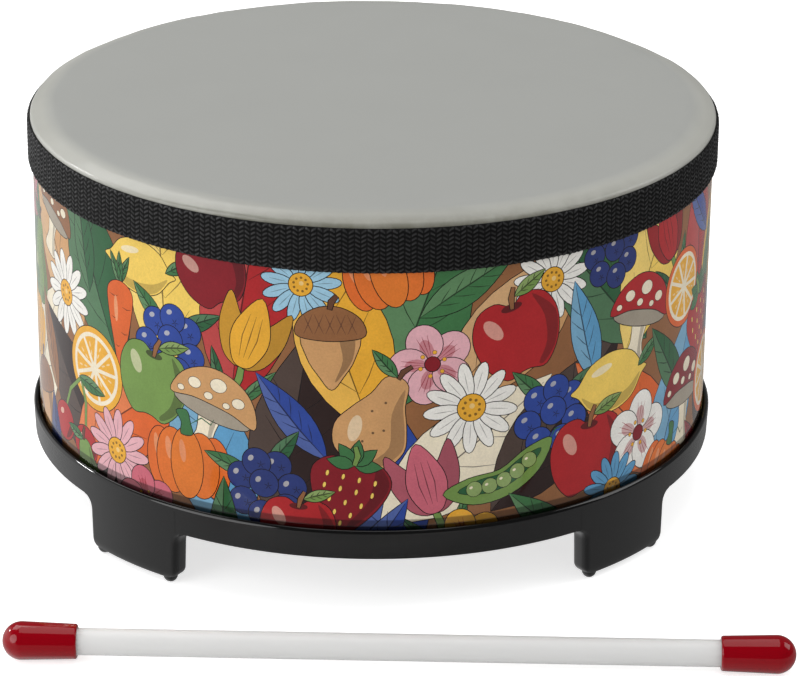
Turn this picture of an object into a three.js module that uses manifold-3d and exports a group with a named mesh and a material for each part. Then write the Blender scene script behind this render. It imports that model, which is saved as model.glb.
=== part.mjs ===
// A child's 10 inch floor tom that stands on a moulded base ring, with its beater lying in front of it.
// Millimetres, +Z up. The player stands at -Y. The origin is the middle of the whole set, on the floor.
import * as THREE from "three";
import { mergeVertices } from "three/addons/utils/BufferGeometryUtils.js";
import Module from "manifold-3d";

const wasm = await Module();
wasm.setup();

// Driving dimensions of the drum
const DRUM_RADIUS = 127; // over the printed wrap, a 10 inch drum
const PLAYING_HEIGHT = 150; // playing face above the floor
const UNDERSIDE_HEIGHT = 21.5; // underside of the base ring above the floor
const GLUE_LINE = 0.1; // bond between two skins
const SEAT_GAP = 0.3; // clearance where one rigid piece stands in or on another

// Printed wrap
const WRAP_THICKNESS = 0.5;
const WRAP_SEAM = 0.4; // open joint between the wrap's two ends

// Shell
const SHELL_WALL = 8;
const SHELL_FOOT_CHAMFER = 0.8;

// Head: a flat playing face that turns down over the shell in a quarter of an ellipse, then a plain skirt
const HEAD_FILM = 0.4;
const RIM_WIDTH = 9.3; // from the skirt in to where the face starts to turn down
const RIM_DEPTH = 5.5; // from the playing face down to where the skirt starts
const SKIRT_INSET = 1.4; // skirt's lower edge above the band's lower edge

// Webbing band over the skirt
const BAND_WIDTH = 16;
const BAND_THICKNESS = 1.2;
const BAND_BELOW_FACE = 4.4; // band's upper edge below the playing face
const BAND_LAP = 18; // its outer end lies this far over its inner end
const BAND_RAMP = 9; // run in which the outer end climbs onto the inner one

// Base ring: a channel with an outer lip, a floor under the shell and a low wall inside the shell
const LIP_WALL = 2.1;
const LIP_HEIGHT = 11; // outer lip, from the ring's underside
const LIP_DRAFT = 0.4; // how much narrower the lip is at its foot
const LIP_ROUND = 0.9;
const FLOOR_THICKNESS = 2.5;
const INNER_WALL = 2.1;
const INNER_WALL_HEIGHT = 8.5; // from the ring's underside
const INNER_WALL_ROUND = 0.6;

// Legs
const LEG_COUNT = 4;
const FIRST_LEG_ANGLE = Math.PI / 4;
const LEG_LENGTH = 45.8; // along the ring, at the root
const LEG_END_DRAFT = 0.4; // how far each end leans in from root to foot
const LEG_THICKNESS = 8.2; // across the ring
const LEG_CORNER = 2.4; // upright outer corners
const LEG_INNER_CORNER = 2.8;
const LEG_ROOT_FILLET = 5;
const LEG_FOOT_ROUND = 3; // lower corners of the leg's ends
const LEG_EDGE_ROUND = 0.5; // lower edges of its faces
const LEG_WALL = 2.2; // round the pocket that cores the leg
const POCKET_CORNER = 1;

// Nubs under the legs
const NUB_RADIUS = 2.7;
const NUB_HEIGHT = 2.6;
const NUB_FLAT_RADIUS = 1.3; // what stands on the floor
const NUB_FROM_END = 5.1; // nub's middle from the leg's end at the root
const NUB_FROM_FACE = 3.2; // nub's middle from the leg's outer face

// Beater
const BEATER_LENGTH = 274;
const SHAFT_RADIUS = 4.75;
const SHAFT_CHAMFER = 0.5;
const CAP_LENGTH = 26;
const CAP_RADIUS = 6.75; // at the shoulder behind the dome
const CAP_MOUTH_RADIUS = 6.15;
const CAP_MOUTH_ROUND = 0.8;
const CAP_END_WALL = 3.5; // between the rod's end and the tip of the dome
const CAP_FIT = 0.1; // round the rod
const BEATER_ASIDE = 3.9; // beater's middle to the right of the drum's axis
const BEATER_AHEAD = 167.7; // and in front of it
const BEATER_TURN = THREE.MathUtils.degToRad(-3.6);

// Facets
const ROUND_FACETS = 96; // round the drum
const RIM_STEPS = 5;
const LIP_STEPS = 3;
const CORNER_STEPS = 3;
const FILLET_STEPS = 3;
const LEG_ARC_STEPS = 5;
const NUB_FACETS = 12;
const NUB_STEPS = 3;
const BEATER_FACETS = 24;
const DOME_STEPS = 5;

// Most that an inner corner of a leg may take of what its outer corner leaves of the thickness
const CORNER_ROOM_SHARE = 0.8;

// Sizes that follow from them
const wrapInner = DRUM_RADIUS - WRAP_THICKNESS;
const shellOuter = wrapInner - GLUE_LINE;
const shellInner = shellOuter - SHELL_WALL;
const shellFoot = UNDERSIDE_HEIGHT + FLOOR_THICKNESS + SEAT_GAP;
const skirtInner = DRUM_RADIUS + GLUE_LINE;
const skirtOuter = skirtInner + HEAD_FILM;
const rimCentreRadius = skirtOuter - RIM_WIDTH;
const rimCentreHeight = PLAYING_HEIGHT - RIM_DEPTH;
const bandTop = PLAYING_HEIGHT - BAND_BELOW_FACE;
const bandFoot = bandTop - BAND_WIDTH;
const bandInner = skirtOuter + GLUE_LINE;
const lipInner = DRUM_RADIUS + SEAT_GAP;
const lipOuter = lipInner + LIP_WALL;
const ringFootOuter = lipOuter - LIP_DRAFT;
const innerWallOuter = shellInner - SEAT_GAP;
const innerWallInner = innerWallOuter - INNER_WALL;
const legOuter = ringFootOuter;
const legInner = legOuter - LEG_THICKNESS;
const legInnerCorner = Math.min(LEG_INNER_CORNER, (LEG_THICKNESS - LEG_CORNER) * CORNER_ROOM_SHARE);

const materials = {
  fibre: new THREE.MeshStandardMaterial({ color: 0x6e5138, roughness: 0.85, metalness: 0 }),
  print: new THREE.MeshStandardMaterial({ color: 0x3c5f9e, roughness: 0.15, metalness: 0 }),
  film: new THREE.MeshStandardMaterial({ color: 0xa8a9a5, roughness: 0.45, metalness: 0 }),
  webbing: new THREE.MeshStandardMaterial({ color: 0x1e1e1f, roughness: 0.8, metalness: 0 }),
  blackPlastic: new THREE.MeshStandardMaterial({ color: 0x2b2b2b, roughness: 0.35, metalness: 0 }),
  whitePlastic: new THREE.MeshStandardMaterial({ color: 0xe4e3e6, roughness: 0.3, metalness: 0 }),
  redVinyl: new THREE.MeshStandardMaterial({ color: 0xa80f16, roughness: 0.25, metalness: 0 }),
};

// Points of an elliptic arc about (x, y), from one angle to another, both ends included.
function arc(x, y, radiusX, radiusY, from, to, steps) {
  return Array.from({ length: steps + 1 }, (_, i) => {
    const angle = from + ((to - from) * i) / steps;
    return new THREE.Vector2(x + radiusX * Math.cos(angle), y + radiusY * Math.sin(angle));
  });
}

// A profile of (radius, height) points, counter-clockwise from axis to axis, turned about the Z axis.
function turned(profile, facets) {
  return new THREE.LatheGeometry(profile, facets).rotateX(Math.PI / 2);
}

// The same for a profile that keeps off the axis and closes on itself.
function turnedRing(profile, facets) {
  return turned([...profile, profile[0].clone()], facets);
}

// Angles, from -Y towards +X, of the drum's facets between two angles, with both of these.
function facetAngles(from, to) {
  const step = (2 * Math.PI) / ROUND_FACETS;
  const inner = [];
  for (let i = Math.floor(from / step) + 1; i * step < to; i += 1) inner.push(i * step);
  return [from, ...inner, to];
}

function aroundAxis(radius, angle) {
  return new THREE.Vector2(radius * Math.sin(angle), -radius * Math.cos(angle));
}

// An upright strip that follows the drum from one angle to another, its inner radius a function of the angle.
function strip(innerRadius, thickness, from, to, foot, height) {
  const angles = facetAngles(from, to);
  const inside = angles.map((angle) => aroundAxis(innerRadius(angle), angle));
  const outside = angles.map((angle) => aroundAxis(innerRadius(angle) + thickness, angle));
  const shape = new THREE.Shape([...outside, ...inside.reverse()]);
  const geometry = new THREE.ExtrudeGeometry(shape, { depth: height, bevelEnabled: false });
  return geometry.translate(0, 0, foot);
}

function solid(geometry) {
  const bare = geometry.clone();
  bare.deleteAttribute("normal");
  bare.deleteAttribute("uv");
  const merged = mergeVertices(bare);
  return new wasm.Manifold(
    new wasm.Mesh({
      numProp: 3,
      vertProperties: new Float32Array(merged.attributes.position.array),
      triVerts: new Uint32Array(merged.index.array),
    }),
  );
}

function geometryOf(body) {
  const made = body.getMesh();
  const geometry = new THREE.BufferGeometry();
  geometry.setAttribute("position", new THREE.BufferAttribute(made.vertProperties, made.numProp));
  geometry.setIndex(new THREE.BufferAttribute(made.triVerts, 1));
  return geometry.toNonIndexed();
}

function piece(name, geometry, material) {
  geometry.computeVertexNormals();
  const mesh = new THREE.Mesh(geometry, material);
  mesh.name = name;
  return mesh;
}

// Shell: a plain tube whose upper edge is rounded over its whole wall, just under the head's rim.
function shell() {
  const roundWidth = shellOuter - rimCentreRadius;
  const roundDepth = RIM_DEPTH - HEAD_FILM - GLUE_LINE;
  const innerEdge = Math.acos((shellInner - rimCentreRadius) / roundWidth);
  const profile = [
    new THREE.Vector2(shellInner, shellFoot + SHELL_FOOT_CHAMFER),
    new THREE.Vector2(shellInner + SHELL_FOOT_CHAMFER, shellFoot),
    new THREE.Vector2(shellOuter - SHELL_FOOT_CHAMFER, shellFoot),
    new THREE.Vector2(shellOuter, shellFoot + SHELL_FOOT_CHAMFER),
    ...arc(rimCentreRadius, rimCentreHeight, roundWidth, roundDepth, 0, innerEdge, RIM_STEPS),
  ];
  return piece("drum_shell", turnedRing(profile, ROUND_FACETS), materials.fibre);
}

// Wrap: one turn of printed film, its ends butted at the back.
function wrap() {
  const halfSeam = WRAP_SEAM / 2 / wrapInner;
  const from = -Math.PI + halfSeam;
  const to = Math.PI - halfSeam;
  const height = rimCentreHeight - shellFoot;
  const geometry = strip(() => wrapInner, WRAP_THICKNESS, from, to, shellFoot, height);
  return piece("shell_wrap", geometry, materials.print);
}

// Head: face, rim and skirt in one formed film.
function head() {
  const outside = arc(rimCentreRadius, rimCentreHeight, RIM_WIDTH, RIM_DEPTH, 0, Math.PI / 2, RIM_STEPS);
  const inside = arc(
    rimCentreRadius,
    rimCentreHeight,
    RIM_WIDTH - HEAD_FILM,
    RIM_DEPTH - HEAD_FILM,
    Math.PI / 2,
    0,
    RIM_STEPS,
  );
  const skirtFoot = bandFoot + SKIRT_INSET;
  const profile = [
    new THREE.Vector2(0, PLAYING_HEIGHT - HEAD_FILM),
    ...inside,
    new THREE.Vector2(skirtInner, skirtFoot),
    new THREE.Vector2(skirtOuter, skirtFoot),
    ...outside,
    new THREE.Vector2(0, PLAYING_HEIGHT),
  ];
  return piece("drum_head", turned(profile, ROUND_FACETS), materials.film);
}

// Band: webbing drawn once round the skirt, its outer end lapped over its inner end at the back.
function band() {
  const lap = BAND_LAP / bandInner;
  const ramp = BAND_RAMP / bandInner;
  const from = -Math.PI - lap / 2;
  const to = Math.PI + lap / 2;
  const lapStart = to - lap;
  const climb = BAND_THICKNESS + GLUE_LINE;
  const climbed = (angle) => THREE.MathUtils.smoothstep(angle, lapStart - ramp, lapStart);
  const radius = (angle) => bandInner + climb * climbed(angle);
  const geometry = strip(radius, BAND_THICKNESS, from, to, bandFoot, BAND_WIDTH);
  return piece("head_band", geometry, materials.webbing);
}

// Section of the base ring: outer lip, floor and inner wall.
function channelProfile() {
  const foot = UNDERSIDE_HEIGHT;
  const floor = foot + FLOOR_THICKNESS;
  const lipTop = foot + LIP_HEIGHT;
  const innerTop = foot + INNER_WALL_HEIGHT;
  const quarter = Math.PI / 2;
  return [
    new THREE.Vector2(innerWallInner, foot),
    new THREE.Vector2(ringFootOuter, foot),
    ...arc(lipOuter - LIP_ROUND, lipTop - LIP_ROUND, LIP_ROUND, LIP_ROUND, 0, quarter, LIP_STEPS),
    ...arc(lipInner + LIP_ROUND, lipTop - LIP_ROUND, LIP_ROUND, LIP_ROUND, quarter, 2 * quarter, LIP_STEPS),
    new THREE.Vector2(lipInner, floor),
    new THREE.Vector2(innerWallOuter, floor),
    new THREE.Vector2(innerWallOuter, innerTop - INNER_WALL_ROUND),
    new THREE.Vector2(innerWallOuter - INNER_WALL_ROUND, innerTop),
    new THREE.Vector2(innerWallInner, innerTop),
  ];
}

// Plan of a leg at one height: a stretch of ring between two radii, with rounded corners.
// A place along it is an arc length at the outer face, so that the ends stay square to the ring.
function legPlan(inner, outer, length, corner, innerCorner) {
  const half = length / 2;
  const place = (along, radius) => aroundAxis(radius, along / legOuter);
  const line = (from, to, radius, steps) =>
    Array.from({ length: steps + 1 }, (_, i) => place(from + ((to - from) * i) / steps, radius));
  const round = (side, radius, size, from, to) =>
    arc(0, 0, size, size, from, to, CORNER_STEPS).map((point) =>
      place(side * (half - size) + point.x, radius + point.y),
    );
  const quarter = Math.PI / 2;
  return [
    ...line(corner - half, half - corner, outer, LEG_ARC_STEPS).slice(1, -1),
    ...round(1, outer - corner, corner, quarter, 0),
    ...round(1, inner + innerCorner, innerCorner, 0, -quarter),
    ...line(half - innerCorner, innerCorner - half, inner, LEG_ARC_STEPS).slice(1, -1),
    ...round(-1, inner + innerCorner, innerCorner, -quarter, -2 * quarter),
    ...round(-1, outer - corner, corner, 2 * quarter, quarter),
  ];
}

// A closed skin over plans with like points, from the lowest to the highest.
function loft(plans, heights) {
  const count = plans[0].length;
  const positions = plans.flatMap((plan, i) => plan.flatMap((point) => [point.x, point.y, heights[i]]));
  const faces = [];
  for (let row = 0; row + 1 < plans.length; row += 1) {
    for (let i = 0; i < count; i += 1) {
      const a = row * count + i;
      const b = row * count + ((i + 1) % count);
      faces.push(a, b, a + count, b, b + count, a + count);
    }
  }
  const top = (plans.length - 1) * count;
  THREE.ShapeUtils.triangulateShape(plans[0], []).forEach(([a, b, c]) => faces.push(a, c, b));
  THREE.ShapeUtils.triangulateShape(plans.at(-1), []).forEach(([a, b, c]) => {
    faces.push(top + a, top + b, top + c);
  });
  const geometry = new THREE.BufferGeometry();
  geometry.setAttribute("position", new THREE.Float32BufferAttribute(positions, 3));
  geometry.setIndex(faces);
  return geometry;
}

// Leg: flush with the ring outside, rounded at its foot and flared into the ring's underside at its root.
function leg() {
  const plans = [];
  const heights = [];
  const quarter = Math.PI / 2;
  for (let i = 0; i <= FILLET_STEPS; i += 1) {
    const angle = (quarter * i) / FILLET_STEPS;
    const endInset = LEG_END_DRAFT + LEG_FOOT_ROUND * (1 - Math.sin(angle));
    const faceInset = LEG_EDGE_ROUND * (1 - Math.sin(angle));
    const inner = legInner + faceInset;
    const outer = legOuter - faceInset;
    const corner = LEG_CORNER - faceInset;
    plans.push(legPlan(inner, outer, LEG_LENGTH - 2 * endInset, corner, legInnerCorner - faceInset));
    heights.push(NUB_HEIGHT + LEG_FOOT_ROUND * (1 - Math.cos(angle)));
  }
  for (let i = 0; i <= FILLET_STEPS; i += 1) {
    const angle = (quarter * i) / FILLET_STEPS;
    const flare = LEG_ROOT_FILLET * (1 - Math.cos(angle));
    const inner = Math.max(legInner - flare, innerWallInner + GLUE_LINE);
    plans.push(legPlan(inner, legOuter, LEG_LENGTH + 2 * flare, LEG_CORNER, legInnerCorner));
    heights.push(UNDERSIDE_HEIGHT - LEG_ROOT_FILLET * (1 - Math.sin(angle)));
  }
  plans.push(plans.at(-1));
  heights.push(UNDERSIDE_HEIGHT + FLOOR_THICKNESS / 2);
  return solid(loft(plans, heights));
}

// Pocket that cores a leg, open upwards into the channel.
function legPocket() {
  const wall = LEG_WALL;
  const length = LEG_LENGTH - 2 * (wall + LEG_END_DRAFT);
  const plan = legPlan(legInner + wall, legOuter - wall, length, POCKET_CORNER, POCKET_CORNER);
  const depth = UNDERSIDE_HEIGHT + 2 * FLOOR_THICKNESS;
  return solid(loft([plan, plan], [NUB_HEIGHT + wall, depth]));
}

// Nub: a low dome with a small flat, standing on the floor.
function nub(along) {
  const rise = arc(0, NUB_HEIGHT, NUB_RADIUS, NUB_HEIGHT, -Math.PI / 2, 0, NUB_STEPS);
  const flank = rise.filter((point) => point.x > NUB_FLAT_RADIUS);
  const top = NUB_HEIGHT + LEG_FOOT_ROUND;
  const profile = [
    new THREE.Vector2(0, 0),
    new THREE.Vector2(NUB_FLAT_RADIUS, 0),
    ...flank,
    new THREE.Vector2(NUB_FLAT_RADIUS, top),
    new THREE.Vector2(0, top),
  ];
  const place = aroundAxis(legOuter - NUB_FROM_FACE, along / legOuter);
  return solid(turned(profile, NUB_FACETS).translate(place.x, place.y, 0));
}

// Base ring: the channel, its legs and their nubs in one moulding.
function baseRing() {
  const nubAlong = LEG_LENGTH / 2 - NUB_FROM_END;
  const foot = leg().add(nub(nubAlong)).add(nub(-nubAlong));
  const pocket = legPocket();
  let body = solid(turnedRing(channelProfile(), ROUND_FACETS));
  for (let i = 0; i < LEG_COUNT; i += 1) {
    const turn = THREE.MathUtils.radToDeg(FIRST_LEG_ANGLE + (2 * Math.PI * i) / LEG_COUNT);
    body = body.add(foot.rotate([0, 0, turn])).subtract(pocket.rotate([0, 0, turn]));
  }
  return piece("base_ring", geometryOf(body), materials.blackPlastic);
}

// Beater parts are turned about the X axis.
function turnedAlongX(profile) {
  return new THREE.LatheGeometry(profile, BEATER_FACETS).rotateZ(-Math.PI / 2);
}

function shaft() {
  const half = BEATER_LENGTH / 2 - CAP_END_WALL - CAP_FIT;
  const profile = [
    new THREE.Vector2(0, -half),
    new THREE.Vector2(SHAFT_RADIUS - SHAFT_CHAMFER, -half),
    new THREE.Vector2(SHAFT_RADIUS, SHAFT_CHAMFER - half),
    new THREE.Vector2(SHAFT_RADIUS, half - SHAFT_CHAMFER),
    new THREE.Vector2(SHAFT_RADIUS - SHAFT_CHAMFER, half),
    new THREE.Vector2(0, half),
  ];
  return piece("beater_shaft", turnedAlongX(profile), materials.whitePlastic);
}

// Cap: a domed end, a body that tapers to its mouth and a blind bore for the rod.
function cap(name, side) {
  const tip = BEATER_LENGTH / 2;
  const mouth = tip - CAP_LENGTH;
  const bore = SHAFT_RADIUS + CAP_FIT;
  const boreEnd = tip - CAP_END_WALL;
  const round = CAP_MOUTH_ROUND;
  const quarter = Math.PI / 2;
  const profile = [
    new THREE.Vector2(0, boreEnd),
    new THREE.Vector2(bore, boreEnd),
    new THREE.Vector2(bore, mouth),
    ...arc(CAP_MOUTH_RADIUS - round, mouth + round, round, round, -quarter, 0, LIP_STEPS),
    ...arc(0, tip - CAP_RADIUS, CAP_RADIUS, CAP_RADIUS, 0, quarter, DOME_STEPS),
  ];
  const mesh = piece(name, turnedAlongX(profile), materials.redVinyl);
  mesh.rotation.z = side > 0 ? 0 : Math.PI;
  return mesh;
}

function beater() {
  const group = new THREE.Group();
  group.add(shaft(), cap("beater_cap_left", -1), cap("beater_cap_right", 1));
  group.position.set(BEATER_ASIDE, -BEATER_AHEAD, CAP_RADIUS);
  group.rotation.z = BEATER_TURN;
  return group;
}

const drumAndBeater = new THREE.Group();
drumAndBeater.add(shell(), wrap(), head(), band(), baseRing(), beater());

// The origin is at the middle of the whole box, on the floor.
const extent = new THREE.Box3().setFromObject(drumAndBeater, true);
const middle = extent.getCenter(new THREE.Vector3());
drumAndBeater.position.set(-middle.x, -middle.y, -extent.min.z);

const floorTom = new THREE.Group();
floorTom.add(drumAndBeater);

export default floorTom;
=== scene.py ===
"""Studio scene of a child's 10 inch floor tom with its loose beater. Metres, +Z up, the player at -Y."""

import math
import random
from collections import Counter

import bpy
from mathutils import Matrix, Vector, noise
from mathutils.geometry import delaunay_2d_cdt


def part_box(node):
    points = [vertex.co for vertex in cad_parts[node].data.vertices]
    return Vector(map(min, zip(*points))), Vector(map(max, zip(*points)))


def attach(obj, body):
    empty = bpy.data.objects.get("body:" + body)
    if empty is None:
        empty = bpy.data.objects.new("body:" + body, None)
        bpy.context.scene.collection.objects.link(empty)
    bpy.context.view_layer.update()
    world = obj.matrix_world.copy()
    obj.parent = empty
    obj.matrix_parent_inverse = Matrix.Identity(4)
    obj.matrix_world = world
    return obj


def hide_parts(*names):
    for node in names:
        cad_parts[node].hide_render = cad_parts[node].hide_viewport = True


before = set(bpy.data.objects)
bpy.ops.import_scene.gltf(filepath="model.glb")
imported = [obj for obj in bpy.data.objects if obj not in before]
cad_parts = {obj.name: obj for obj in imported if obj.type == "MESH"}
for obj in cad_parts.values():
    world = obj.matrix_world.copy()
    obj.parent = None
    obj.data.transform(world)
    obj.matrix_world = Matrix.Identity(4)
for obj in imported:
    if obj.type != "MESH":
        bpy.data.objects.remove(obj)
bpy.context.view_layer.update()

MM = 0.001
TURN = 2 * math.pi
QUARTER = math.pi / 2

# Sizes read from the frame
ring_low, ring_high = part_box("base_ring")
wrap_low, wrap_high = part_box("shell_wrap")
band_low, band_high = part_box("head_band")
head_low, head_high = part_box("drum_head")
shell_low, shell_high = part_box("drum_shell")
shaft_low, shaft_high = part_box("beater_shaft")
cap_boxes = [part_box("beater_cap_left"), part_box("beater_cap_right")]

axis_x = (ring_low.x + ring_high.x) / 2
axis_y = (ring_low.y + ring_high.y) / 2
ring_radius = (ring_high.x - ring_low.x) / 2
wrap_radius = (wrap_high.x - wrap_low.x) / 2
band_radius = (band_high.x - band_low.x) / 2
head_radius = (head_high.x - head_low.x) / 2
shell_radius = (shell_high.x - shell_low.x) / 2

# Camera, placed from the drum's axis at the floor
CAMERA_DISTANCE = 1.27285
CAMERA_HEIGHT = 0.581858
CAMERA_AZIMUTH = math.radians(-2.035)
CAMERA_PITCH = math.radians(22.574)
CAMERA_YAW = math.radians(0.484)
CAMERA_ROLL = math.radians(0.532)
FOCAL_PIXELS = 3599.97
PHOTO_WIDTH = 800
SENSOR_WIDTH = 36.0

# Head and webbing
RIM_WIDTH = 9.3 * MM
RIM_DEPTH = 5.5 * MM
HEAD_FILM = 0.4 * MM
PRINTED_FILM = 0.45 * MM
PRINT_SEAM = 0.12 * MM
RIM_STEPS = 10
RIM_ELLIPSE_SHARE = 0.58
SHOULDER_ROUND = 2 * MM
SHOULDER_START = math.radians(26)
SHOULDER_DROP = 4.05 * MM
RIM_WAVE = 0.45 * MM
WEBBING_THICKNESS = 1.2 * MM
WEBBING_LAP = 18 * MM
WEBBING_RAMP = 9 * MM
GLUE_LINE = 0.1 * MM
YARN_COLUMNS = 384
YARN_ROWS = 10
YARN_RELIEF = 0.55 * MM
YARN_SLANT = 0.75
SCALLOP = 0.3 * MM
SELVEDGE_RISE = 0.3 * MM
SELVEDGE_WIDTH = 0.45 * MM

# Painted shadow of the lip on the printed film's foot: share of light left, height above the lip, half the
# blur
LIP_SHADES = [(0.38, 3.4 * MM, 0.25 * MM), (0.2, 1.1 * MM, 0.3 * MM)]

# Base ring
LIP_WALL = 2.1 * MM
LIP_HEIGHT = 11 * MM
LIP_DRAFT = 0.4 * MM
LIP_ROUND = 0.95 * MM
LIP_SLOPE_WIDTH = 0.86 * MM
LIP_SLOPE_DROP = 1.1 * MM
LIP_SLOPE_POWER = 1.35
FLOOR_THICKNESS = 2.5 * MM
INNER_WALL = 2.1 * MM
INNER_WALL_HEIGHT = 8.5 * MM
EDGE_ROUND = 0.4 * MM
SEAT_GAP = 0.3 * MM
SHELL_WALL = 8 * MM
LEG_COUNT = 4
LEG_LENGTH = 45.8 * MM
LEG_END_DRAFT = 0.4 * MM
LEG_THICKNESS = 8.2 * MM
LEG_CORNER = 2.4 * MM
LEG_INNER_CORNER = 2.8 * MM
LEG_ROOT_FILLET = 5 * MM
LEG_FOOT_ROUND = 3 * MM
LEG_EDGE_ROUND = 0.4 * MM
LEG_CORNER_STEPS = 6
LEG_SIDE_STEPS = 14
LEG_CURVE_STEPS = 8
NUB_RADIUS = 2.7 * MM
NUB_HEIGHT = 2.6 * MM
NUB_FLAT_RADIUS = 1.0 * MM
NUB_FROM_END = 5.1 * MM
NUB_FROM_FACE = 3.2 * MM
MOULD_LINES = (-73.85 * MM, 71.8 * MM)

# Beater
CAP_LENGTH = 26 * MM
CAP_MOUTH_RADIUS = 6.15 * MM
CAP_MOUTH_ROUND = 0.8 * MM
CAP_END_WALL = 3.5 * MM
CAP_FIT = 0.1 * MM
SHAFT_RADIUS = 4.75 * MM

ROUND_STEPS = 288

# Edges that several bodies of the base ring share
ring_under = ring_high.z - LIP_HEIGHT
ring_foot = ring_radius - LIP_DRAFT
wall_outer = shell_radius - SHELL_WALL - SEAT_GAP
wall_inner = wall_outer - INNER_WALL

# Studio
DRUM_MIDDLE = (0, 0, 0.1)
WHITE_LIGHT = (1, 1, 1, 1)
FLOOR_SIZE = 12.0
WORLD_FRONT_LIGHT = 0.5
WORLD_BACK_LIGHT = 0.3
WORLD_FRONT_GLOSS = 0.03
WORLD_BACK_GLOSS = 0.13
WORLD_LEFT_GLOSS = 0.9
FLOOR_SHADE = 0.86
FLOOR_GLOW = 0.7
# What gloss sees below, by its direction: degrees from the front towards the right, and strength
FLOOR_GLOSS = [(-180, 0.5), (-140, 0.72), (-111, 0.78), (-85, 0.6), (-40, 0.5), (-12, 0.31), (20, 0.28),
               (70, 0.37), (121, 0.34), (180, 0.28)]


def linear(colour):
    """Linear RGBA of an sRGB colour written as three numbers from 0 to 255."""
    shares = [value / 255 for value in colour]
    return [s / 12.92 if s <= 0.04045 else ((s + 0.055) / 1.055) ** 2.4 for s in shares] + [1.0]


def added(name, data):
    made = bpy.data.objects.new(name, data)
    bpy.context.scene.collection.objects.link(made)
    return made


def new_object(name, vertices, faces):
    mesh = bpy.data.meshes.new(name)
    mesh.from_pydata(vertices, [], faces)
    mesh.validate()
    mesh.shade_smooth()
    return added(name, mesh)


def dress(piece, body, node, material):
    """Gives a finished piece its material and its place in the frame."""
    piece.data.materials.clear()
    piece.data.materials.append(material)
    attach(piece, body)
    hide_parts(node)


def smoothstep(low, high, value):
    share = min(1.0, max(0.0, (value - low) / (high - low)))
    return share * share * (3 - 2 * share)


def arc(x, y, radius_x, radius_y, start, end, steps):
    """Points of an elliptic arc about (x, y), angles in radians."""
    angles = [start + (end - start) * i / steps for i in range(steps + 1)]
    return [(x + radius_x * math.cos(a), y + radius_y * math.sin(a)) for a in angles]


def around(radius, angle, height):
    """A point beside the drum's axis: angle 0 is at -Y and grows towards +X."""
    return (axis_x + radius * math.sin(angle), axis_y - radius * math.cos(angle), height)


def from_axis(spot):
    """The level way from the drum's axis to a place."""
    return Vector((spot.x - axis_x, spot.y - axis_y, 0))


def skin(rows, closed=False):
    """Faces between rows of corners that each go once round."""
    pairs = list(zip(rows, rows[1:]))
    if closed:
        pairs.append((rows[-1], rows[0]))
    faces = []
    for low, high in pairs:
        for i in range(len(low)):
            j = (i + 1) % len(low)
            corners = [low[i], low[j], high[j], high[i]]
            faces.append([c for k, c in enumerate(corners) if c not in corners[:k]])
    return faces


def turned(name, profile, steps, place=around, closed=False):
    """A profile of (radius, height) points turned about an axis. Points on the axis become one vertex."""
    vertices = []
    rows = []
    for radius, height in profile:
        if radius < 1e-7:
            rows.append([len(vertices)] * steps)
            vertices.append(place(0, 0, height))
        else:
            rows.append(range(len(vertices), len(vertices) + steps))
            vertices.extend(place(radius, TURN * i / steps, height) for i in range(steps))
    return new_object(name, vertices, skin(rows, closed))


def sharpen(piece, degrees):
    """Keeps edges steeper than this crisp while the rest shades smooth."""
    piece.data.set_sharp_from_angle(angle=math.radians(degrees))


# Material nodes

BLACK = (0, 0, 0, 1)
BODY_BLACK = (20, 20, 20)
HEAD_GREY = (170, 171, 167)
RIM_PALE = (187, 187, 180)
# Painted shade: the rim's darker colour at the front left
RIM_FRONT_PAINTED_SHADE = (168, 168, 161)
# Painted shade: the colour the rim darkens to in blotches beside the webbing
RIM_LOW_PAINTED_SHADE = (120, 119, 106)
YARN_DULL = (24, 24, 25)
YARN_BRIGHT = (58, 58, 59)
FIBRE_DARK = (84, 60, 42)
FIBRE_PALE = (142, 110, 80)
ROD_WHITE = (229, 229, 228)
CAP_RED = (147, 2, 18)
HEAD_ROUGHNESS = 0.32
RIM_ROUGHNESS = 0.28
# Height above the webbing below which the rim's painted shade is full
PAINTED_SHADE_ABOVE_BAND = 0.6 * MM
POLISH_DEPTH = 1.6 * MM
POLISH_EDGE = 0.9 * MM
SATIN_ROUGHNESS = 0.26
POLISHED_ROUGHNESS = 0.035
MOULD_LINE_HALF = (0.12 * MM, 0.35 * MM)
MOULD_LINE_FOOT = (21.4 * MM, 21.8 * MM)
MOULD_LINE_TOP = (30.1 * MM, 30.5 * MM)
MOULD_LINE_DEPTH = 0.02 * MM


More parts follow.
